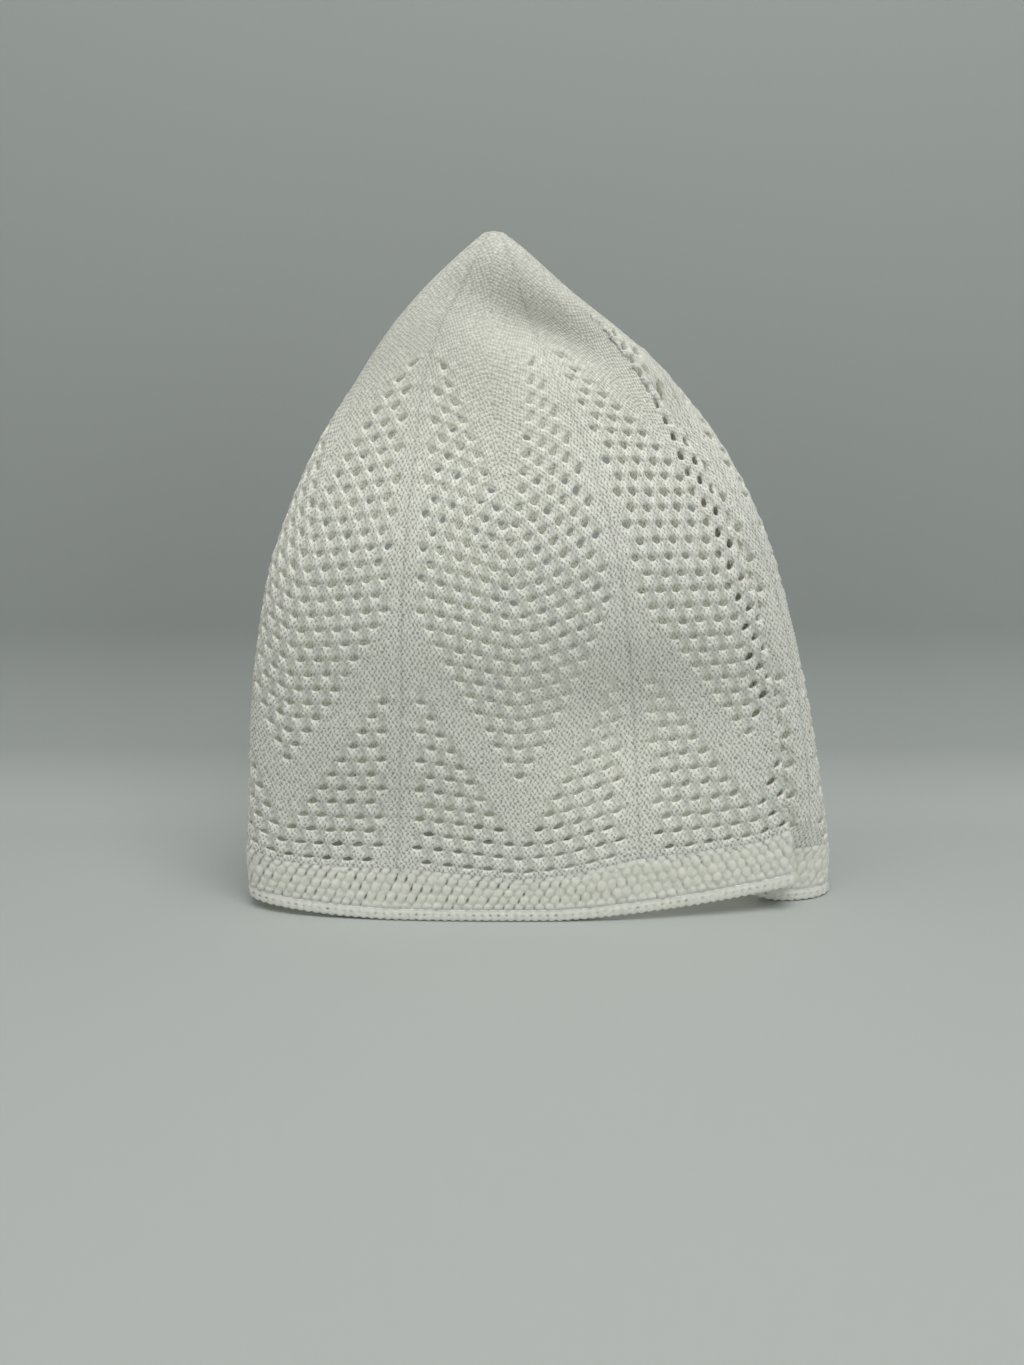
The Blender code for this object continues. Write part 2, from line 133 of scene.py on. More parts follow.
# Soft hollows of the front: x, height, half length, half width, turn in degrees, depth
HOLLOWS = (
    (26.0, 66.0, 30.0, 24.0, 0.0, 4.0),
    (-55.0, 30.0, 30.0, 20.0, 0.0, 1.8),
    (-3.0, 184.0, 26.0, 9.0, -27.0, 8.0),
)

# Tables of the form: levels up, points round, and points on a plan curve's runs
LEVEL_COUNT = 106
ROUND_COUNT = 960
SIDE_POINTS = 90
REAR_POINTS = 24
TUCK_POINTS = 12
EDGE_POINTS = 1440
LIFT_ROUNDS = 5              # rounds in which a place's rise and its height come to agree
SHARE_PROBE = 0.0008         # steps over which the directions of the surface are measured
ROW_PROBE = 0.3

# Knit grid: half wales across a half gore, half courses (steps) up it
HALF_GORE = 48
STEPS_PER_ROW = 8
FIRST_STEP = -64
NARROW_FROM = 132            # step where the gore starts to lose wales
STEPS_PER_LOSS = 4
LAST_STEP = 320
LEVEL_OUT = 0.25             # the cloth's middle lies this far outside the form's surface
TIP_RISE = 0.7

# Chance, so that no two stitches are quite alike: its seeds, how many spreads a stitch may
# stray, and the least opening of a slit or dot
CROWN_SEED = 11
BAND_SEED = 5
CHAIN_SEED = 8
STRAY_LIMIT = 2
LEAST_OPEN = 0.1

# Lace chart: holes by column from a gore's axis and by row
COLUMN_STEP = 4
LACE_REACH = 10
MOTIF_ROWS = 16
TRIANGLE_FOOT = -7
TRIANGLE_TOP = 6
UPPER_ROWS = (10.0, 16.0)    # rows over which the holes turn from the lower to the upper kind
LOWER_ROWS = (-2.0, -7.0)    # rows over which they flatten towards the rim
SLANT_ROWS = (4.0, -4.0)     # rows over which they come to lean

# Lace holes, in steps: half sizes, and what the upper, lower and leaning ones add
HOLE_CELLS = 2
HOLE_FADE = 2.0              # width of the cloth that makes way for a hole
HOLE_HALF_WIDTH = 2.0
HOLE_HALF_HEIGHT = 1.75
UPPER_WIDER = 0.05
UPPER_TALLER = 0.4
LOWER_FLATTER = 0.45
EGG_SHAPE = (-0.22, 0.28)    # wider below on low holes, wider above on upper ones
HOLE_SLANT = 0.35
HOLE_DRIFT = 0.22            # how far holes lie from their places in the chart
WIDTH_SPREAD = 0.05
HEIGHT_SPREAD = 0.07

# Pockets that the holes lie in, and beads where the yarn bunches beside a hole, in steps
POCKET_HALF_WIDTH = 4.0
POCKET_ABOVE = 12.0
POCKET_BELOW = 4.4
UPPER_ABOVE = -3.5
UPPER_BELOW = 1.6
UPPER_SHALLOWER = 0.1
POCKET_STEEPNESS = 1.25
SHEER_STEEPNESS = 1.9
SHEER_THINNING = 0.35
BEAD_PLACE = (4.0, 2.0)
BEAD_REACH = (1.5, 2.4)
BEAD_SPREAD = 0.3
NEAR_HOLE = 6.01

# Raised stitches: share that fades over steps up, and how much they differ
STITCH_FADE = (60.0, 120.0)
STITCH_FADE_SHARE = 0.5
STITCH_SPREAD = 0.25

# Shaded stitches: dark pits low on the cap, bright domes towards the tip, by course
# The stitch height below also sets the knit's colour, so the hollows between stitches are painted
# darker: painted shade.
PIT_SHARPNESS = 2.1
DOME_SHARPNESS = 1.3
DOME_DEPTH = 0.4
DOME_LEVEL = 0.25
PITS_BELOW = 60.0
DOMES_ABOVE = 120.0
STITCH_JITTER = (1.4, 1.9, 0.0)
POCKET_CALM = 0.6            # how much of the shaded stitches the pockets smooth away

# Yarn: scale of its grain and its share in the knit, and how deep it looks, in metres
YARN_GRAIN = 700.0
GRAIN_SHARE = 0.5
BUMP_STRENGTH = 0.6
STITCH_BUMP = 0.0005
YARN_BUMP = 0.0003
POCKET_DARKER = 0.04         # how much darker lace pockets are painted, partly thinner cloth and partly painted shade, and the rim's slits and dots, painted shade there
GAP_DARKER = 0.8

# Rims: rows of points on their inner face, and the least height over the floor
INSIDE_STEPS = 4
FLOOR_GAP = 0.02

# Rim band: rows of its lines of lobes, and by share of the way round the lean and open slits
RIM_STITCHES = SECTORS * COLUMNS
BAND_LINES = (-10.05, -9.45, -8.85, -8.25, -7.65)
BAND_LINE_HALF = 0.47
BAND_STEPS_PER_LOBE = 11
BAND_STEPS_UP = 48
BAND_SPAN = (EDGE_ROW - 0.1, BAND_ROW + 0.25)
BAND_OUT = 0.7
BAND_INSIDE = 1.3
LOBE_HALF_WIDTH = 0.59
LOBE_SWELL = 0.13
LOBE_SLIDE = 0.05
SLIT_WIDTH = 0.1
SLIT_LENGTH = 0.38
SLIT_DEPTH = 0.9
SLIT_AT = -0.1               # where a slit lies from its line's middle
SLIT_POWER = 1.5             # how rare wide slits are
BAND_SINK = 0.2              # how far the ground between the lobes lies back
BAND_FADE = (0.2, -0.3)      # rows from the band's top over which its relief comes up
BAND_FOOT = (0.55, 0.3)      # share of the relief at the band's foot, rows till it is full
SLIT_SHARES = ((-0.5, 0.5), (-0.1, 1.0), (0.02, 0.9), (0.06, 0.35), (0.3, 0.35), (0.5, 0.5))
LEANS = ((-0.5, 0.4), (-0.16, 0.5), (-0.02, 0.45), (0.04, 0.1), (0.09, -0.3), (0.2, -0.3),
         (0.5, 0.4))

# Chain edge
CHAIN_LINKS = 180
CHAIN_SPAN = (RIM_ROW + 0.02, EDGE_ROW + 0.02)
CHAIN_RADIUS = 1.0
CHAIN_OUT = 0.35
CHAIN_INSIDE = 1.2
CHAIN_SQUARE = 3.5
CHAIN_LEDGE = 1.12           # the roll's upper half reaches at least this far, under the band
CHAIN_SCALLOP = 0.12
CHAIN_HEM_SCALLOP = 0.05
CHAIN_DOT_AT = 0.1
CHAIN_DOT_SIZE = (0.16, 0.14)
CHAIN_DOT_DEPTH = 0.35
CHAIN_DOT_POWER = 1.3
CHAIN_LIGHTEN = 0.08
CHAIN_STEPS_PER_LINK = 8
CHAIN_STEPS_UP = 14

# Stage sweep in metres: floor from front to bend, bend, wall
FLOOR_FRONT = -0.9
FLOOR_MIDDLE = -0.3
BEND_START = 0.045
BEND_RADIUS = 0.07
BEND_STEPS = 16
WALL_HEIGHT = 1.2
STAGE_HALF_WIDTH = 1.2
# Height over which the wall's painted shade comes in
WALL_SHADE_FROM = 0.02

# Camera fitted to the photo, in the form's own mm
CAMERA_PLACE = (-9.6, -318.0, 147.0)
CAMERA_PITCH = 12.8
CAMERA_LENS = 27.03

# Soft lights in metres: name, place, height that it is aimed at, size, watts, colour
LIGHTS = (
    ("key", (0.13, -0.36, 0.95), 0.08, (0.7, 0.6), 7.1, (1.0, 1.0, 0.985)),
    ("top_left_fill", (-0.5, -0.25, 0.85), 0.08, (0.6, 0.6), 1.5, (1.0, 1.0, 0.985)),
    ("left_fill", (-0.9, -0.8, 0.4), 0.1, (0.8, 0.8), 1.8, (0.97, 1.0, 1.0)),
    ("right_fill", (0.9, -0.8, 0.4), 0.1, (0.8, 0.8), 2.7, (0.97, 1.0, 1.0)),
)

# Light that the thin cloth would let through: side place and height inside the cap, watts
INSIDE_LIGHTS = ((0.02, 0.045, 0.018), (-0.03, 0.12, 0.012), (-0.008, 0.158, 0.015))
INSIDE_LIGHT_DEPTH = -0.006
INSIDE_LIGHT_SIZE = 0.02
WORLD_COLOUR = (0.95, 1.0, 0.98, 1.0)
WORLD_STRENGTH = 0.03


def curve_through(rows, at):
    """Values of a table at the given first-column places, by a curve that never overshoots."""
    rows = np.asarray(rows, dtype=float)
    xs, ys = rows[:, 0], rows[:, 1:]
    span = np.diff(xs)
    slope = np.diff(ys, axis=0) / span[:, None]
    tangent = np.zeros_like(ys)
    tangent[0], tangent[-1] = slope[0], slope[-1]
    for k in range(1, len(xs) - 1):
        before, after = slope[k - 1], slope[k]
        same = before * after > 0
        wa = 2 * span[k] + span[k - 1]
        wb = span[k] + 2 * span[k - 1]
        safe_before = np.where(same, before, 1.0)
        safe_after = np.where(same, after, 1.0)
        tangent[k] = np.where(same, (wa + wb) / (wa / safe_before + wb / safe_after), 0.0)
    at = np.clip(np.asarray(at, dtype=float), xs[0], xs[-1])
    k = np.clip(np.searchsorted(xs, at, side="right") - 1, 0, len(xs) - 2)
    t = ((at - xs[k]) / span[k])[..., None]
    h = span[k][..., None]
    return ((2 * t**3 - 3 * t**2 + 1) * ys[k] + (t**3 - 2 * t**2 + t) * h * tangent[k]
            + (3 * t**2 - 2 * t**3) * ys[k + 1] + (t**3 - t**2) * h * tangent[k + 1])


def ease(t):
    """Smooth step from 0 to 1."""
    t = np.clip(t, 0.0, 1.0)
    return t * t * (3 - 2 * t)


def ramp(value, start, end):
    """Smooth step from 0 at the start to 1 at the end."""
    return ease((value - start) / (end - start))


def quarter(x0, y0, x1, y1, power, count, leaves_along_y):
    """Superellipse quarter between two points."""
    t = np.linspace(0.0, math.pi / 2, count + 1)
    c = np.cos(t) ** (2 / power)
    s = np.sin(t) ** (2 / power)
    if leaves_along_y:
        return x1 + (x0 - x1) * c, y0 + (y1 - y0) * s
    return x0 + (x1 - x0) * s, y1 + (y0 - y1) * c


def half_turn(cx, cy, radius, start, end):
    """Half circle used where the cloth turns back on itself."""
    a = np.radians(np.linspace(start, end, TUCK_POINTS + 1))
    return cx + radius * np.cos(a), cy + radius * np.sin(a)


def line(x0, y0, x1, y1):
    """Straight run of points."""
    u = np.linspace(0.0, 1.0, TUCK_POINTS + 1)
    return x0 + (x1 - x0) * u, y0 + (y1 - y0) * u


def plan(height, tucked):
    """Plan curve at a height from the front axis right, round the back and home again."""
    left, right, crease, axis, front, back = curve_through(LEVELS, [height])[0]
    depth, space = curve_through(TUCK, [height])[0]
    side = LEAN_DEPTH * max(0.0, height - LEAN_START) / (FORM_TOP - LEAN_START)
    fore = -front
    middle = 0.5 * (left + right)
    if tucked:
        r = space / 2
        crease_y = fore + CREASE_BACK * (side - fore)
        end = crease - r
        inner = min(crease - depth + r, end - TURN_GAP)
        out = crease - REAR_START
        right_y = crease_y + 4 * r + min(REAR_DEPTH, REAR_SLOPE * (right - out))
        u = np.linspace(0.0, 1.0, SIDE_POINTS + 1)
        runs = [
            (axis + (end - axis) * u, fore + (crease_y - fore) * u**FRONT_BEND),
            half_turn(end, crease_y + r, r, -90, 90),
            line(end, crease_y + 2 * r, inner, crease_y + 2 * r),
            half_turn(inner, crease_y + 3 * r, r, 270, 90),
            line(inner, crease_y + 4 * r, out, crease_y + 4 * r),
            quarter(out, crease_y + 4 * r, right, right_y, 2.0, REAR_POINTS, False),
        ]
    else:
        right_y = side
        runs = [quarter(axis, fore, right, side, FRONT_SQUARE, SIDE_POINTS, False)]
    runs.append(quarter(right, right_y, middle, back, BACK_SQUARE, SIDE_POINTS, True))
    runs.append(quarter(middle, back, left, side, BACK_SQUARE, SIDE_POINTS, False))
    runs.append(quarter(left, side, axis, fore, FRONT_SQUARE, SIDE_POINTS, True))
    xs, ys, joints = [runs[0][0]], [runs[0][1]], [len(runs[0][0]) - 1]
    for x, y in runs[1:]:
        xs.append(x[1:])
        ys.append(y[1:])
        joints.append(joints[-1] + len(x) - 1)
    return np.concatenate(xs), np.concatenate(ys), joints, (left, right, crease, axis)


def spread(x, y, count):
    """Points spaced evenly by length along a closed curve, with the lengths of its points."""
    s = np.concatenate([[0.0], np.cumsum(np.hypot(np.diff(x), np.diff(y)))])
    at = np.arange(count) / count * s[-1]
    return np.interp(at, s, x), np.interp(at, s, y), s / s[-1]


class Form:
    """The cap's middle surface, tabled by height and share of the way round."""

    def __init__(self):
        self.heights = np.linspace(0.0, FORM_TOP, LEVEL_COUNT)
        shape = (LEVEL_COUNT, ROUND_COUNT)
        self.x, self.y = np.zeros(shape), np.zeros(shape)
        self.left, self.crease, self.rear = np.zeros(shape), np.zeros(shape), np.zeros(shape)
        self.fore = np.zeros(shape)
        share = np.arange(ROUND_COUNT) / ROUND_COUNT
        for k, height in enumerate(self.heights):
            x, y, joints, (left, right, crease, axis) = plan(height, True)
            fx, fy, s = spread(x, y, ROUND_COUNT)
            sx, sy, _ = spread(*plan(height, False)[:2], ROUND_COUNT)
            opened = ramp(height, *TUCK_FADE)
            x = fx + (sx - fx) * opened
            y = fy + (sy - fy) * opened
            self.x[k], self.y[k] = x, y
            start, end = s[joints[0]], s[joints[4]]
            on_left = np.clip((axis - x) / (axis - left), 0.0, 1.0)
            lift = np.clip((on_left - LEFT_LIFT[0]) / (1 - LEFT_LIFT[0]), 0.0, 1.0)
            self.left[k] = np.where(share > RIGHT_END, lift ** LEFT_LIFT[1], 0.0)
            on_right = np.clip((x - axis) / (crease - axis), 0.0, 1.0)
            lift = np.clip((on_right - RIGHT_LIFT[0]) / (1 - RIGHT_LIFT[0]), 0.0, 1.0)
            hidden = ease((share - start) / (end - start))
            hidden += (ease((share - start) / OPEN_REACH) - hidden) * opened
            self.crease[k] = np.where(share <= start, lift ** RIGHT_LIFT[1], 1 - hidden)
            self.crease[k] *= share < RIGHT_END
            on_rear = np.clip((x - axis) / (right - axis), 0.0, 1.0) ** REAR_LIFT_POWER
            self.rear[k] = np.where(share <= start, 0.0, np.where(share < end, hidden, on_rear))
            self.rear[k] += (hidden * on_rear - self.rear[k]) * opened
            self.rear[k] *= share < REAR_END
            on_front = (share < start) | (share > FRONT_START)
            near = (y - FRONT_DEPTHS[0]) / (FRONT_DEPTHS[1] - FRONT_DEPTHS[0])
            self.fore[k] = on_front * np.clip(near, 0.0, 1.0)

    def look(self, table, share, height):
        """Read a table between its levels and its places round the curve."""
        at = np.mod(share, 1.0) * ROUND_COUNT
        i = np.floor(at).astype(int)
        u = at - i
        i0, i1 = i % ROUND_COUNT, (i + 1) % ROUND_COUNT
        level = np.clip(height / FORM_TOP, 0.0, 1.0) * (LEVEL_COUNT - 1)
        k = np.minimum(level.astype(int), LEVEL_COUNT - 2)
        v = level - k
        low = table[k, i0] * (1 - u) + table[k, i1] * u
        high = table[k + 1, i0] * (1 - u) + table[k + 1, i1] * u
        return low * (1 - v) + high * v

    def place(self, share, row):
        """Middle of the wall at a share of the way round and a row of the fabric."""
        share, row = np.broadcast_arrays(np.asarray(share, float), np.asarray(row, float))
        base, left, crease, rear, chevron = np.moveaxis(curve_through(ROWS, row), -1, 0)
        from_edge = 1 - np.abs(np.mod(share * SECTORS + 0.5, 1.0) - 0.5) * 2
        fall = np.hypot(from_edge, EDGE_ROUND) - EDGE_ROUND
        base = base + chevron * (1 - fall / (math.hypot(1.0, EDGE_ROUND) - EDGE_ROUND))
        z = base
        for _ in range(LIFT_ROUNDS):
            z = (base + left * self.look(self.left, share, z)
                 + crease * self.look(self.crease, share, z)
                 + rear * self.look(self.rear, share, z))
            z = np.minimum(z, FORM_TOP)
        x = self.look(self.x, share, z)
        y = self.look(self.y, share, z)
        fore = self.look(self.fore, share, z)
        for cx, cz, long, wide, turn, depth in HOLLOWS:
            c, s = math.cos(math.radians(turn)), math.sin(math.radians(turn))
            u = ((x - cx) * c + (z - cz) * s) / long
            v = ((z - cz) * c - (x - cx) * s) / wide
            y = y + depth * fore * np.exp(-u * u - v * v)
        return np.stack([x, y, z], axis=-1)

    def along(self, share, row):
        """Unit direction round the cap."""
        d = self.place(share + SHARE_PROBE, row) - self.place(share - SHARE_PROBE, row)
        return d / np.linalg.norm(d, axis=-1, keepdims=True)

    def outward(self, share, row):
        """Unit direction out of the cap."""
        low = np.maximum(row - ROW_PROBE, RIM_ROW)
        high = np.minimum(row + ROW_PROBE, TOP_ROW)
        n = np.cross(self.along(share, row), self.place(share, high) - self.place(share, low))
        return n / np.linalg.norm(n, axis=-1, keepdims=True)


FORM = Form()


def frame_shift():
    """How far the row frame's origin lies from the form's own, in mm."""
    share = np.linspace(0.0, 1.0, EDGE_POINTS + 1)[:-1]
    row = RIM_ROW + (EDGE_ROW - RIM_ROW) * 0.5
    tangent = FORM.along(share, np.full_like(share, row))
    out = np.stack([tangent[:, 1], -tangent[:, 0]], axis=-1)
    out /= np.linalg.norm(out, axis=-1, keepdims=True)
    edge = FORM.place(share, row)[:, :2] + out * SOURCE_EDGE_OUT
    low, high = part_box("edge_chain")
    middle = np.array([low.x + high.x, low.y + high.y]) / 2 / MM
    return np.append((edge.min(axis=0) + edge.max(axis=0)) / 2 - middle, 0.0)


SHIFT = frame_shift()


class CapSettings(bpy.types.PropertyGroup):
    """Sizes and colours of the cap and its stage."""

    crown_thickness: bpy.props.FloatProperty(
        name="Crown Thickness", description="Thickness of the plain knit",
        default=0.0011, min=0.0, unit="LENGTH")
    pocket_depth: bpy.props.FloatProperty(
        name="Pocket Depth", description="How deep the lace pockets lie below their ridges",
        default=0.00068, min=0.0, unit="LENGTH")
    stitch_height: bpy.props.FloatProperty(
        name="Stitch Height", description="Height of the small stitches of the plain knit",
        default=0.00022, min=0.0, unit="LENGTH")
    bead_height: bpy.props.FloatProperty(
        name="Bead Height", description="How far the yarn bunches up between two lace holes",
        default=0.00028, min=0.0, unit="LENGTH")
    band_relief: bpy.props.FloatProperty(
        name="Band Relief", description="How far the lobes of the rim band stand out",
        default=0.00085, min=0.0, unit="LENGTH")
    yarn_colour: bpy.props.FloatVectorProperty(
        name="Yarn Colour", description="Colour of the lit yarn", subtype="COLOR", size=4,
        default=(0.905, 0.907, 0.82, 1.0), min=0.0, max=1.0)
    floor_colour: bpy.props.FloatVectorProperty(
        name="Floor Colour", description="Colour of the stage floor", subtype="COLOR", size=4,
        default=(0.445, 0.468, 0.455, 1.0), min=0.0, max=1.0)
    # The wall's grey is the floor's grey painted darker: painted shade on the wall.
    shaded_wall_colour: bpy.props.FloatVectorProperty(
        name="Wall Colour", description="Colour of the stage wall", subtype="COLOR", size=4,
        default=(0.335, 0.359, 0.347, 1.0), min=0.0, max=1.0)


def add_mesh(name, points, triangles, uv=None, normals=None, sheer_and_shade=None):
    """Make one mesh object from mm points, in the row frame."""
    mesh = bpy.data.meshes.new(name)
    mesh.vertices.add(len(points))
    mesh.vertices.foreach_set("co", ((points - SHIFT) * MM).astype(np.float32).ravel())
    mesh.loops.add(3 * len(triangles))
    mesh.loops.foreach_set("vertex_index", triangles.astype(np.int32).ravel())
    mesh.polygons.add(len(triangles))
    starts = np.arange(0, 3 * len(triangles), 3, dtype=np.int32)
    mesh.polygons.foreach_set("loop_start", starts)
    if uv is not None:
        layer = mesh.uv_layers.new(name="knit")
        layer.data.foreach_set("uv", uv.astype(np.float32).ravel())
    if sheer_and_shade is not None:
        layer = mesh.attributes.new(name="sheer_and_shade", type="FLOAT", domain="POINT")
        layer.data.foreach_set("value", sheer_and_shade.astype(np.float32))
    mesh.update(calc_edges=True)
    mesh.shade_smooth()
    if normals is not None:
        mesh.normals_split_custom_set_from_vertices(normals.tolist())
    obj = bpy.data.objects.new(name, mesh)
    bpy.context.scene.collection.objects.link(obj)
    return obj


def vertex_normals(points, triangles):
    """Sum of the face normals round each vertex."""
    a, b, c = (points[triangles[:, k]] for k in range(3))
    n = np.cross(b - a, c - a)
    total = np.zeros_like(points)
    for k in range(3):
        for axis in range(3):
            total[:, axis] += np.bincount(triangles[:, k], n[:, axis], len(points))
    return total


def lace_holes():
    """Holes of a half gore: step across from the gore's edge, step up, column, row."""
    holes = []
    for column in range(LACE_REACH + 1):
        rows = list(range(column, column + MOTIF_ROWS + 1, 2))
        rows += [r for r in range(TRIANGLE_FOOT, column - TRIANGLE_TOP + 1)
                 if (r + column) % 2 == 0]
        across = HALF_GORE - COLUMN_STEP * column
        holes += [(across, STEPS_PER_ROW * row, column, row) for row in rows]
    return holes


class GoreGrid:
    """Grid of one gore: rings of vertices that narrow at the gore's axis towards the tip."""

    def __init__(self):
        step = np.arange(FIRST_STEP, LAST_STEP + 1)
        self.step = step
        half = self.half_width(step)
        self.columns = np.ceil(half).astype(int)
        self.start = np.concatenate([[0], np.cumsum(2 * self.columns + 1)])
        across, side, up = [], [], []
        for k, v in enumerate(step):
            b = np.arange(self.columns[k])
            across.append(np.concatenate([b, [half[k]], b[::-1]]))
            side.append(np.concatenate([-np.ones(len(b)), [0.0], np.ones(len(b))]))
            up.append(np.full(2 * len(b) + 1, float(v)))
        self.across = np.concatenate(across)
        self.side = np.concatenate(side)
        self.up = np.concatenate(up)
        self.count = len(self.up)

    @staticmethod
    def half_width(step):
        """Half width of the gore in half wales at a step up."""
        loss = np.maximum(step - NARROW_FROM, 0) / STEPS_PER_LOSS
        return HALF_GORE - loss

    def index(self, ring, side, b):
        """Vertex on a ring, counted from the gore's left or right edge."""
        place = b if side < 0 else 2 * self.columns[ring] - b
        return self.start[ring] + place

    def open_cells(self):
        """Cells of the half grid that the lace leaves open."""
        cells = np.zeros((len(self.step), HALF_GORE + HOLE_CELLS), dtype=bool)
        for b, v, _, _ in lace_holes():
            k = v - FIRST_STEP
            cells[k - HOLE_CELLS:k + HOLE_CELLS, b - HOLE_CELLS:b + HOLE_CELLS] = True
        cells[:, HALF_GORE:] = False
        return cells

    def faces(self):
        """Triangles of the outer face, and the edges round the open cells."""
        opened = self.open_cells()
        triangles, rims = [], []
        ring = np.arange(len(self.step) - 1)
        low, high = self.columns[:-1], self.columns[1:]
        regular = np.where(low == high, high, high - 1)
        k = np.repeat(ring, regular)
        b = np.concatenate([np.arange(n) for n in regular])
        keep = ~opened[k, b]
        k, b = k[keep], b[keep]
        v = self.step[k]
        course = (v + 1) // 2
        high_is_near = (b + course) % 2 == 0
        rising = np.where(v % 2 == 0, high_is_near, ~high_is_near)
        closing = ring[low != high]
        ek, eb = np.nonzero(opened[1:, :HALF_GORE] != opened[:-1, :HALF_GORE])
        ek = ek + 1
        sk, sb = np.nonzero(opened[:, 1:HALF_GORE] != opened[:, :HALF_GORE - 1])
        sb = sb + 1
        for side in (-1, 1):
            p00, p10 = self.index(k, side, b), self.index(k, side, b + 1)
            p01, p11 = self.index(k + 1, side, b), self.index(k + 1, side, b + 1)
            first = np.where(rising[:, None], np.stack([p00, p10, p11], 1),
                             np.stack([p00, p10, p01], 1))
            second = np.where(rising[:, None], np.stack([p00, p11, p01], 1),
                              np.stack([p10, p11, p01], 1))
            h = self.columns[closing + 1]
            l0, l1 = self.index(closing, side, h - 1), self.index(closing, side, h)
            l2 = self.index(closing, side, h + 1)
            u0, u1 = self.index(closing + 1, side, h - 1), self.index(closing + 1, side, h)
            ends = [np.stack(t, 1) for t in ((l0, l1, u0), (l1, u1, u0), (l1, l2, u1))]
            part = np.concatenate([first, second] + ends)
            triangles.append(part if side < 0 else part[:, ::-1])
            upper_open = opened[ek, eb]
            p, q = self.index(ek, side, eb), self.index(ek, side, eb + 1)
            level = np.where(upper_open[:, None], np.stack([p, q], 1), np.stack([q, p], 1))
            near_open = opened[sk, sb - 1]
            p, q = self.index(sk, side, sb), self.index(sk + 1, side, sb)
            upright = np.where(near_open[:, None], np.stack([p, q], 1), np.stack([q, p], 1))
            part = np.concatenate([level, upright])
            rims.append(part if side < 0 else part[:, ::-1])
        return np.concatenate(triangles), np.concatenate(rims)

    def shape(self, cap, chance):
        """Places of the vertices, how far they sink and stand out, and a mask of the pockets'
        thinner cloth that also paints them darker as painted shade.
        """
        across, up = self.across.copy(), self.up.copy()
        stitch = 0.5 * (1 + np.cos(math.pi * (self.across + self.up / 2)))
        stitch *= cap.stitch_height / MM * (self.up % 2 == 0)
        stitch *= 1 - STITCH_FADE_SHARE * ramp(self.up, *STITCH_FADE)
        stitch *= 1 + STITCH_SPREAD * chance.standard_normal(self.count).clip(
            -STRAY_LIMIT, STRAY_LIMIT)
        sink, sheer_and_shade, beads = np.zeros(self.count), np.zeros(self.count), np.zeros(self.count)
        for side in (-1, 1):
            mine = np.nonzero((self.side == side) | (self.side == 0))[0]
            b, v = self.across[mine], self.up[mine]
            for hole_b, hole_v, column, row in lace_holes():
                x, y = b - hole_b, v - hole_v
                near = np.nonzero((np.abs(x) <= NEAR_HOLE) & (np.abs(y) <= POCKET_ABOVE))[0]
                if side > 0:
                    near = near[self.side[mine[near]] > 0]
                here, x, y = mine[near], x[near], y[near]
                upper = ramp(row, *UPPER_ROWS)
                lie = pocket(x, y, upper)
                low = cap.pocket_depth / MM * (1 - UPPER_SHALLOWER * upper)
                sink[here] = np.maximum(sink[here], low * ease(lie * POCKET_STEEPNESS))
                sheer_and_shade[here] = np.maximum(sheer_and_shade[here], ease(lie * SHEER_STEEPNESS))
                bead = np.exp(-((np.abs(x) - BEAD_PLACE[0]) / BEAD_REACH[0]) ** 2
                              - ((y - BEAD_PLACE[1]) / BEAD_REACH[1]) ** 2)
                bead *= 1 + BEAD_SPREAD * chance.standard_normal()
                beads[here] = np.maximum(beads[here], bead)
                move_x, move_y = round_hole(x, y, row, side if column else 0, chance)
                across[here] += move_x
                up[here] += move_y
        return across, up, sink, stitch + cap.bead_height / MM * beads, sheer_and_shade


def pocket(x, y, upper):
    """How deep in a hole's pocket a place lies: 1 at the hole's middle, 0 outside."""
    above = POCKET_ABOVE + UPPER_ABOVE * upper
    below = POCKET_BELOW + UPPER_BELOW * upper
    reach = np.where(y > 0, above, below)
    return np.clip(1 - np.abs(x) / POCKET_HALF_WIDTH - np.abs(y) / reach, 0.0, 1.0)


def round_hole(x, y, row, side, chance):
    """How far vertices move to make a square hole round; side is 0 on a gore's axis."""
    upper = ramp(row, *UPPER_ROWS)
    wide = (HOLE_HALF_WIDTH + UPPER_WIDER * upper) * (1 + WIDTH_SPREAD * chance.standard_normal())
    tall = HOLE_HALF_HEIGHT + UPPER_TALLER * upper - LOWER_FLATTER * ramp(row, *LOWER_ROWS)
    tall *= 1 + HEIGHT_SPREAD * chance.standard_normal()
    stray = chance.standard_normal(2).clip(-STRAY_LIMIT, STRAY_LIMIT)
    drift_x, drift_y = HOLE_DRIFT * stray * (side != 0)
    ring = np.maximum(np.abs(x), np.abs(y))
    square_x, square_y = x / np.maximum(ring, 1.0), y / np.maximum(ring, 1.0)
    disc_x = square_x * np.sqrt(1 - square_y ** 2 / 2)
    disc_y = square_y * np.sqrt(1 - square_x ** 2 / 2)
    disc_x *= 1 + (EGG_SHAPE[1] * upper + EGG_SHAPE[0] * (1 - upper)) * disc_y
    round_x = disc_x * (wide + ring - HOLE_CELLS)
    round_y = disc_y * (tall + ring - HOLE_CELLS)
    round_x -= HOLE_SLANT * ramp(row, *SLANT_ROWS) * side * round_y
    blend = np.clip((HOLE_CELLS + HOLE_FADE - ring) / HOLE_FADE, 0.0, 1.0)
    return (round_x + drift_x - x) * blend, (round_y + drift_y - y) * blend


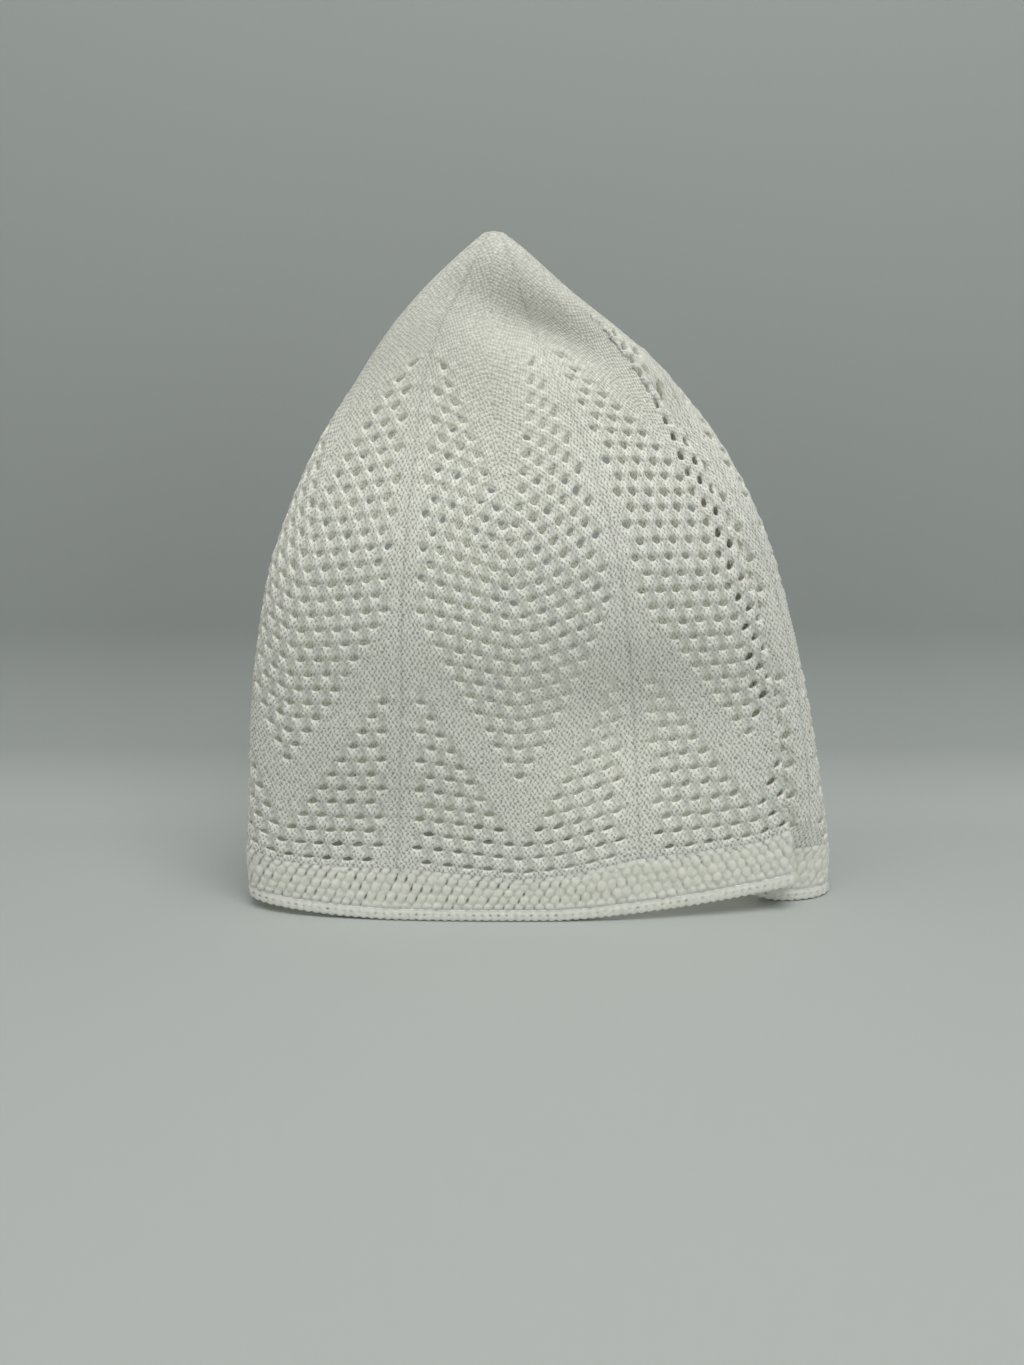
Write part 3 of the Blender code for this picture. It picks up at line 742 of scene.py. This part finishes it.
def gore_triangles(grid):
    """Triangles of a gore, those of its foot last, and how many come before the foot's."""
    outer_faces, rims = grid.faces()
    n = grid.count
    inner_faces = outer_faces[:, ::-1] + n
    walls = np.concatenate([
        np.stack([rims[:, 0], rims[:, 1], rims[:, 1] + n], 1),
        np.stack([rims[:, 0], rims[:, 1] + n, rims[:, 0] + n], 1)])
    top = grid.start[-2]
    crest = np.array([[top, top + 1, 2 * n], [top + 1, top + 2, 2 * n],
                      [top + 1 + n, top + n, 2 * n + 1], [top + 2 + n, top + 1 + n, 2 * n + 1]])
    shaded = np.concatenate([outer_faces, inner_faces, walls, crest])
    foot = np.arange(grid.start[1] - 1)
    hem = np.concatenate([
        np.stack([foot + 1, foot, foot + n], 1),
        np.stack([foot + 1, foot + n, foot + 1 + n], 1)])
    return np.concatenate([shaded, hem]), len(shaded)


def join_normals(grid, normals):
    """Give the edges that two gores share, and the tip that all share, the same normals."""
    n = grid.count
    left, right = (np.concatenate([e, e + n]) for e in (grid.start[:-1], grid.start[1:] - 1))
    for gore, here in enumerate(normals):
        after = normals[(gore + 1) % SECTORS]
        total = here[right] + after[left]
        here[right] = total
        after[left] = total
    tips = sum(here[2 * n:] for here in normals)
    for here in normals:
        here[2 * n:] = tips
        here /= np.maximum(np.linalg.norm(here, axis=1, keepdims=True), 1e-9)


def knit_crown(cap):
    """The six gores of the crown with every lace hole open."""
    grid = GoreGrid()
    triangles, shaded = gore_triangles(grid)
    chance = np.random.default_rng(CROWN_SEED)
    thickness = cap.crown_thickness / MM
    gores = []
    for gore in range(SECTORS):
        across, up, sink, raised, sheer_and_shade = grid.shape(cap, chance)
        half = grid.half_width(up)
        share = (gore + grid.side * (half - across) / (2 * half)) / SECTORS
        row = up / STEPS_PER_ROW
        middle = FORM.place(share, row)
        out = FORM.outward(share, row)
        level = LEVEL_OUT - sink
        outer = middle + out * (level + thickness / 2 + raised)[:, None]
        inner = middle + out * (level - thickness * (0.5 - SHEER_THINNING * sheer_and_shade))[:, None]
        gores.append((outer, inner, np.stack([HALF_GORE - across, up], 1), sheer_and_shade))
    top = grid.start[-2]
    tips = [np.concatenate([gore[face][top:top + 2] for gore in gores]).mean(axis=0)
            for face in (0, 1)]
    tips[0][2] += TIP_RISE
    sides = np.concatenate([grid.side, grid.side, [0.0, 0.0]])
    corner_side = np.sign(sides[triangles].sum(axis=1))[:, None]
    made = []
    for gore, (outer, inner, place, sheer_and_shade) in enumerate(gores):
        points = np.concatenate([outer, inner, tips])
        places = np.concatenate([place, place, place[-2:]])[triangles]
        across = 2 * HALF_GORE * gore + corner_side * places[..., 0]
        uvs = np.stack([across, places[..., 1]], axis=-1) / 2
        made.append((points, uvs, np.concatenate([sheer_and_shade, sheer_and_shade, [0.0, 0.0]])))
    normals = [vertex_normals(points, triangles[:shaded]) for points, _, _ in made]
    join_normals(grid, normals)
    return [add_mesh(f"crown_knit_{gore + 1}", points, triangles, uvs, normals[gore], sheer_and_shade)
            for gore, (points, uvs, sheer_and_shade) in enumerate(made)]


def rim_ring(name, span, relief, inside, steps, hem):
    """Closed ring of the rim, with a relief on its outer face and painted shade in its gaps; hem
    lifts its foot by place.
    """
    low_row, high_row = span
    count = len(hem)
    share = np.arange(count) / count
    loop, gaps = [], []
    for row in np.linspace(low_row, high_row, steps):
        at = row + hem * (high_row - row) / (high_row - low_row)
        height, gap = relief(share, at)
        loop.append(FORM.place(share, at) + FORM.outward(share, at) * height[:, None])
        gaps.append(gap)
    for row in np.linspace(high_row, low_row, INSIDE_STEPS):
        at = np.full_like(share, row)
        loop.append(FORM.place(share, at) - FORM.outward(share, at) * inside)
        gaps.append(np.zeros_like(share))
    points = np.concatenate(loop)
    points[:, 2] = np.maximum(points[:, 2], FLOOR_GAP)
    faces = []
    i = np.arange(count)
    j = (i + 1) % count
    for s in range(len(loop)):
        t = (s + 1) % len(loop)
        a, b, c, d = s * count + i, s * count + j, t * count + j, t * count + i
        faces += [np.stack([a, b, c], 1), np.stack([a, c, d], 1)]
    return add_mesh(name, points, np.concatenate(faces), sheer_and_shade=np.concatenate(gaps))


def knit_band(cap):
    """The rim band: lines of leaning lobes in brick order, with a slit beside each lobe, sunk and
    painted dark as painted shade.
    """
    chance = np.random.default_rng(BAND_SEED)
    shape = (len(BAND_LINES), RIM_STITCHES)
    slit = chance.uniform(LEAST_OPEN, 1.0, shape) ** SLIT_POWER
    swell = chance.normal(1.0, LOBE_SWELL, shape)
    slide = chance.normal(0.0, LOBE_SLIDE, shape)
    relief = cap.band_relief / MM

    def height(share, row):
        """How far the band stands out at a place, and how open its slits are, which paints them
        darker as painted shade.
        """
        lobes, slits = np.zeros_like(share), np.zeros_like(share)
        turn = np.mod(share + 0.5, 1.0) - 0.5
        lean = np.interp(turn, *zip(*LEANS))
        open_share = np.interp(turn, *zip(*SLIT_SHARES))
        for number, centre in enumerate(BAND_LINES):
            t = (row - centre) / BAND_LINE_HALF
            place = share * RIM_STITCHES - 0.5 * number - lean * (row - centre)
            lobe = np.round(place).astype(int) % RIM_STITCHES
            across = (place - np.round(place) + slide[number, lobe]) / LOBE_HALF_WIDTH
            body = np.sqrt(np.clip(1 - across ** 2 - t * t, 0.0, 1.0))
            lobes = np.maximum(lobes, swell[number, lobe] * body)
            gap = np.floor(place).astype(int) % RIM_STITCHES
            aside = (place - np.floor(place) - 0.5) / SLIT_WIDTH
            along = (t - SLIT_AT) / SLIT_LENGTH
            slits += slit[number, gap] * np.exp(-aside ** 2 - along ** 2)
        slits = np.clip(slits * open_share, 0.0, 1.0)
        fade = ramp(row, BAND_ROW + BAND_FADE[0], BAND_ROW + BAND_FADE[1])
        fade = fade * (BAND_FOOT[0]
                       + (1 - BAND_FOOT[0]) * ramp(row, EDGE_ROW, EDGE_ROW + BAND_FOOT[1]))
        out = BAND_OUT + fade * (relief * lobes - BAND_SINK - SLIT_DEPTH * slits)
        return out, slits * fade

    count = RIM_STITCHES * BAND_STEPS_PER_LOBE
    return rim_ring("band_stitches", BAND_SPAN, height, BAND_INSIDE, BAND_STEPS_UP,
                    np.zeros(count))


def knit_edge():
    """The chain edge that the cap stands on: a smooth roll with a dot at each link, sunk and
    painted dark as painted shade.
    """
    chance = np.random.default_rng(CHAIN_SEED)
    dots = chance.uniform(LEAST_OPEN, 1.0, CHAIN_LINKS) ** CHAIN_DOT_POWER
    span = EDGE_ROW - RIM_ROW

    def height(share, row):
        """How far the edge stands out at a place, and how open its dots are, which paints them
        darker as painted shade; the rest of the chain is painted a little lighter.
        """
        t = (row - RIM_ROW) / span * 2 - 1
        link = share * CHAIN_LINKS
        number = np.floor(link).astype(int) % CHAIN_LINKS
        aside = (link - np.floor(link) - 0.5) / CHAIN_DOT_SIZE[0]
        dot = dots[number] * np.exp(-aside ** 2 - ((t - CHAIN_DOT_AT) / CHAIN_DOT_SIZE[1]) ** 2)
        roll = CHAIN_RADIUS * np.sqrt(np.clip(1 - np.abs(t) ** CHAIN_SQUARE, 0.0, 1.0))
        scallop = CHAIN_SCALLOP * np.cos(2 * math.pi * link) * np.clip(1 - t, 0.0, 1.0)
        out = np.maximum(CHAIN_OUT + roll, CHAIN_LEDGE * (t > 0))
        return out + scallop - CHAIN_DOT_DEPTH * dot, dot - CHAIN_LIGHTEN

    count = CHAIN_LINKS * CHAIN_STEPS_PER_LINK
    turn = np.arange(count) * 2 * math.pi / CHAIN_STEPS_PER_LINK
    hem = CHAIN_HEM_SCALLOP * (1 - np.cos(turn))
    return rim_ring("edge_chain_links", CHAIN_SPAN, height, CHAIN_INSIDE, CHAIN_STEPS_UP, hem)


def feed(tree, node, inputs):
    """Set inputs, named or numbered, to values or link them to other nodes' outputs."""
    for key, value in inputs.items():
        if isinstance(value, bpy.types.NodeSocket):
            tree.links.new(value, node.inputs[key])
        else:
            node.inputs[key].default_value = value


def add_node(tree, kind, inputs, operation=None):
    """Add a shader node with its inputs set or linked."""
    node = tree.nodes.new("ShaderNode" + kind)
    if operation:
        node.operation = operation
    feed(tree, node, inputs)
    return node


def math_node(tree, operation, *values):
    """Result of a math node on numbers or other nodes' outputs."""
    return add_node(tree, "Math", dict(enumerate(values)), operation).outputs[0]


def stitch_group():
    """Node group: height of the plain knit at a place counted in wales and courses."""
    group = bpy.data.node_groups.new("knit_stitches", "ShaderNodeTree")
    face = group.interface
    face.new_socket(name="Place", in_out="INPUT", socket_type="NodeSocketVector")
    face.new_socket(name="Height", in_out="OUTPUT", socket_type="NodeSocketFloat")
    start = group.nodes.new("NodeGroupInput")
    end = group.nodes.new("NodeGroupOutput")
    place = add_node(group, "SeparateXYZ", {0: start.outputs["Place"]})
    turn = math_node(group, "MULTIPLY", place.outputs["X"], 2 * math.pi)
    wales = math_node(group, "COSINE", turn)
    turn = math_node(group, "MULTIPLY", place.outputs["Y"], math.pi)
    courses = math_node(group, "COSINE", turn)
    wave = math_node(group, "MULTIPLY_ADD", math_node(group, "MULTIPLY", wales, courses), 0.5, 0.5)
    gaps = math_node(group, "POWER", math_node(group, "SUBTRACT", 1.0, wave), PIT_SHARPNESS)
    pits = math_node(group, "SUBTRACT", 1.0, gaps)
    domes = math_node(group, "MULTIPLY_ADD", math_node(group, "POWER", wave, DOME_SHARPNESS),
                      DOME_DEPTH, DOME_LEVEL * (1 - DOME_DEPTH))
    high = add_node(group, "MapRange", {
        "Value": place.outputs["Y"], "From Min": PITS_BELOW, "From Max": DOMES_ABOVE})
    high.interpolation_type = "SMOOTHSTEP"
    blend = add_node(group, "Mix", {0: high.outputs["Result"], 2: pits, 3: domes})
    feed(group, end, {"Height": blend.outputs[0]})
    return group


def yarn_material(cap, knitted):
    """Off-white filament yarn, darkened by the mesh's sheer_and_shade mask; knitted adds the fine
    stitches of the plain knit, their hollows painted darker as painted shade.
    """
    name = "cap_knit" if knitted else "cap_yarn"
    if name in bpy.data.materials:
        return bpy.data.materials[name]
    material = bpy.data.materials.new(name)
    material.use_nodes = True
    tree = material.node_tree
    place = tree.nodes.new("ShaderNodeTexCoord")
    sheer_and_shade_input = tree.nodes.new("ShaderNodeAttribute")
    sheer_and_shade_input.attribute_name = "sheer_and_shade"
    noise = add_node(tree, "TexNoise", {
        "Vector": place.outputs["Object"], "Scale": YARN_GRAIN, "Detail": 2.0})
    height = noise.outputs["Fac"]
    shades = {"From Min": 0.25, "From Max": 0.75, "To Min": 0.78, "To Max": 0.95}
    if knitted:
        jitter = add_node(tree, "VectorMath", {
            0: noise.outputs["Color"], 1: STITCH_JITTER, 2: place.outputs["UV"]}, "MULTIPLY_ADD")
        stitches = tree.nodes.new("ShaderNodeGroup")
        stitches.node_tree = stitch_group()
        feed(tree, stitches, {"Place": jitter.outputs["Vector"]})
        rough = math_node(tree, "MULTIPLY_ADD", noise.outputs["Fac"], GRAIN_SHARE,
                          stitches.outputs["Height"])
        calm = math_node(tree, "MULTIPLY", sheer_and_shade_input.outputs["Fac"], POCKET_CALM)
        height = add_node(tree, "Mix", {0: calm, 2: rough, 3: 1.0}).outputs[0]
        shades = {"From Min": 0.15, "From Max": 1.25, "To Min": 0.36, "To Max": 0.99}
    # The height also sets the colour: the yarn grain gives random tone, and the knit's stitch
    # hollows are painted darker, painted shade.
    shade = add_node(tree, "MapRange", {"Value": height, **shades}).outputs["Result"]
    darker = POCKET_DARKER if knitted else GAP_DARKER
    # Painted shade: the mask darkens lace pockets, partly as thinner cloth, and the rim's slits
    # and dots.
    sheer_and_shade_factor = math_node(tree, "MULTIPLY_ADD", sheer_and_shade_input.outputs["Fac"], -darker, 1.0)
    tint = add_node(tree, "VectorMath", {
        0: cap.yarn_colour[:3], "Scale": math_node(tree, "MULTIPLY", shade, sheer_and_shade_factor)}, "SCALE")
    bump = add_node(tree, "Bump", {
        "Strength": BUMP_STRENGTH, "Distance": STITCH_BUMP if knitted else YARN_BUMP,
        "Height": height})
    feed(tree, tree.nodes["Principled BSDF"], {
        "Base Color": tint.outputs["Vector"], "Normal": bump.outputs["Normal"],
        "Roughness": 0.45, "Specular IOR Level": 0.45, "Sheen Weight": 0.1,
        "Sheen Roughness": 0.4, "Subsurface Weight": 0.7,
        "Subsurface Radius": (1.0, 1.0, 0.95), "Subsurface Scale": 0.0025})
    return material


def stage_material(cap):
    """Matte grey, painted darker from the floor up to the wall as painted shade, and clear from
    behind.
    """
    material = bpy.data.materials.new("stage_grey")
    material.use_nodes = True
    tree = material.node_tree
    place = tree.nodes.new("ShaderNodeTexCoord")
    split = add_node(tree, "SeparateXYZ", {"Vector": place.outputs["Object"]})
    rise = add_node(tree, "MapRange", {
        "Value": split.outputs["Z"], "From Min": 0.0, "From Max": WALL_SHADE_FROM})
    mix = tree.nodes.new("ShaderNodeMix")
    mix.data_type = "RGBA"
    feed(tree, mix, {0: rise.outputs["Result"], 6: cap.floor_colour, 7: cap.shaded_wall_colour})
    shader = tree.nodes["Principled BSDF"]
    feed(tree, shader, {
        "Base Color": mix.outputs[2], "Roughness": 0.9, "Specular IOR Level": 0.1})
    facing = tree.nodes.new("ShaderNodeNewGeometry")
    clear = tree.nodes.new("ShaderNodeBsdfTransparent")
    either = add_node(tree, "MixShader", {
        0: facing.outputs["Backfacing"], 1: shader.outputs["BSDF"], 2: clear.outputs["BSDF"]})
    feed(tree, tree.nodes["Material Output"], {"Surface": either.outputs["Shader"]})
    return material


def stage_sweep(cap):
    """Floor that curves up into a wall behind the cap."""
    profile = [(FLOOR_FRONT, 0.0), (FLOOR_MIDDLE, 0.0)]
    for k in range(BEND_STEPS + 1):
        a = math.radians(90 * k / BEND_STEPS)
        profile.append((BEND_START + BEND_RADIUS * math.sin(a),
                        BEND_RADIUS - BEND_RADIUS * math.cos(a)))
    profile.append((BEND_START + BEND_RADIUS, WALL_HEIGHT))
    vertices = [(x, y, z) for y, z in profile for x in (-STAGE_HALF_WIDTH, STAGE_HALF_WIDTH)]
    faces = [(2 * k, 2 * k + 1, 2 * k + 3, 2 * k + 2) for k in range(len(profile) - 1)]
    mesh = bpy.data.meshes.new("stage_sweep")
    mesh.from_pydata(vertices, [], faces)
    mesh.update()
    mesh.shade_smooth()
    obj = bpy.data.objects.new("stage_sweep", mesh)
    bpy.context.scene.collection.objects.link(obj)
    obj.data.materials.append(stage_material(cap))
    return obj


def add_light(name, place, aim, size, power, colour):
    """One soft rectangular light aimed at a point."""
    bpy.ops.object.select_all(action="DESELECT")
    bpy.ops.object.light_add(type="AREA", location=place)
    light = bpy.context.object
    light.name = name
    light.data.shape = "RECTANGLE"
    light.data.size, light.data.size_y = size
    light.data.energy = power
    light.data.color = colour
    run = np.array(aim) - np.array(place)
    light.rotation_euler = (math.acos(-run[2] / np.linalg.norm(run)), 0.0,
                            math.atan2(run[1], run[0]) - math.pi / 2)
    return light


class CAP_OT_knit_crown(bpy.types.Operator):
    """Build the six openwork gores of the crown"""

    bl_idname = "cap.knit_crown"
    bl_label = "Knit Crown"

    def execute(self, context):
        pieces = knit_crown(context.scene.cap_settings)
        material = yarn_material(context.scene.cap_settings, True)
        for piece in pieces:
            piece.data.materials.append(material)
            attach(piece, "root")
            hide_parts("crown")
        return {"FINISHED"}


class CAP_OT_knit_band(bpy.types.Operator):
    """Build the rim band of slanted stitches"""

    bl_idname = "cap.knit_band"
    bl_label = "Knit Band"

    def execute(self, context):
        piece = knit_band(context.scene.cap_settings)
        piece.data.materials.append(yarn_material(context.scene.cap_settings, False))
        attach(piece, "root")
        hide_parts("rim_band")
        return {"FINISHED"}


class CAP_OT_chain_edge(bpy.types.Operator):
    """Build the chain edge that the cap stands on"""

    bl_idname = "cap.chain_edge"
    bl_label = "Chain Edge"

    def execute(self, context):
        piece = knit_edge()
        piece.data.materials.append(yarn_material(context.scene.cap_settings, False))
        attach(piece, "root")
        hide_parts("edge_chain")
        return {"FINISHED"}


class CAP_OT_stage(bpy.types.Operator):
    """Build the floor and wall, the lights and the camera"""

    bl_idname = "cap.stage"
    bl_label = "Set Stage"

    def execute(self, context):
        cap = context.scene.cap_settings
        stage_sweep(cap)
        for name, place, aim_height, size, power, colour in LIGHTS:
            add_light(name, place, (0.0, 0.0, aim_height), size, power, colour)
        for side, height, power in INSIDE_LIGHTS:
            bpy.ops.object.light_add(
                type="POINT", location=(side, INSIDE_LIGHT_DEPTH, height))
            context.object.name = "inside_fill"
            context.object.data.energy = power
            context.object.data.shadow_soft_size = INSIDE_LIGHT_SIZE
        world = bpy.data.worlds.new("stage_world")
        context.scene.world = world
        world.use_nodes = True
        feed(world.node_tree, world.node_tree.nodes["Background"], {
            "Color": WORLD_COLOUR, "Strength": WORLD_STRENGTH})
        bpy.ops.object.select_all(action="DESELECT")
        place = (np.array(CAMERA_PLACE) - SHIFT) * MM
        bpy.ops.object.camera_add(
            location=place, rotation=(math.radians(90.0 - CAMERA_PITCH), 0.0, 0.0))
        camera = context.object
        camera.name = "photo_camera"
        camera.data.sensor_width = 36.0
        camera.data.lens = CAMERA_LENS
        camera.data.clip_start = 0.01
        context.scene.camera = camera
        context.scene.view_settings.view_transform = "Standard"
        context.scene.cycles.max_bounces = 16
        context.scene.cycles.diffuse_bounces = 12
        return {"FINISHED"}


class CAP_PT_panel(bpy.types.Panel):
    """Cap settings in the sidebar"""

    bl_idname = "CAP_PT_panel"
    bl_label = "Openwork Cap"
    bl_space_type = "VIEW_3D"
    bl_region_type = "UI"
    bl_category = "Cap"

    def draw(self, context):
        cap = context.scene.cap_settings
        for name in ("crown_thickness", "pocket_depth", "stitch_height", "bead_height",
                     "band_relief", "yarn_colour", "floor_colour", "shaded_wall_colour"):
            self.layout.prop(cap, name)
        for operator in (CAP_OT_knit_crown, CAP_OT_knit_band, CAP_OT_chain_edge, CAP_OT_stage):
            self.layout.operator(operator.bl_idname)


CLASSES = (CapSettings, CAP_OT_knit_crown, CAP_OT_knit_band, CAP_OT_chain_edge, CAP_OT_stage,
           CAP_PT_panel)


def register():
    for cls in CLASSES:
        bpy.utils.register_class(cls)
    bpy.types.Scene.cap_settings = bpy.props.PointerProperty(type=CapSettings)


def unregister():
    del bpy.types.Scene.cap_settings
    for cls in reversed(CLASSES):
        bpy.utils.unregister_class(cls)


def main():
    register()
    bpy.ops.cap.knit_crown()
    bpy.ops.cap.knit_band()
    bpy.ops.cap.chain_edge()
    bpy.ops.cap.stage()


if __name__ == "__main__":
    main()
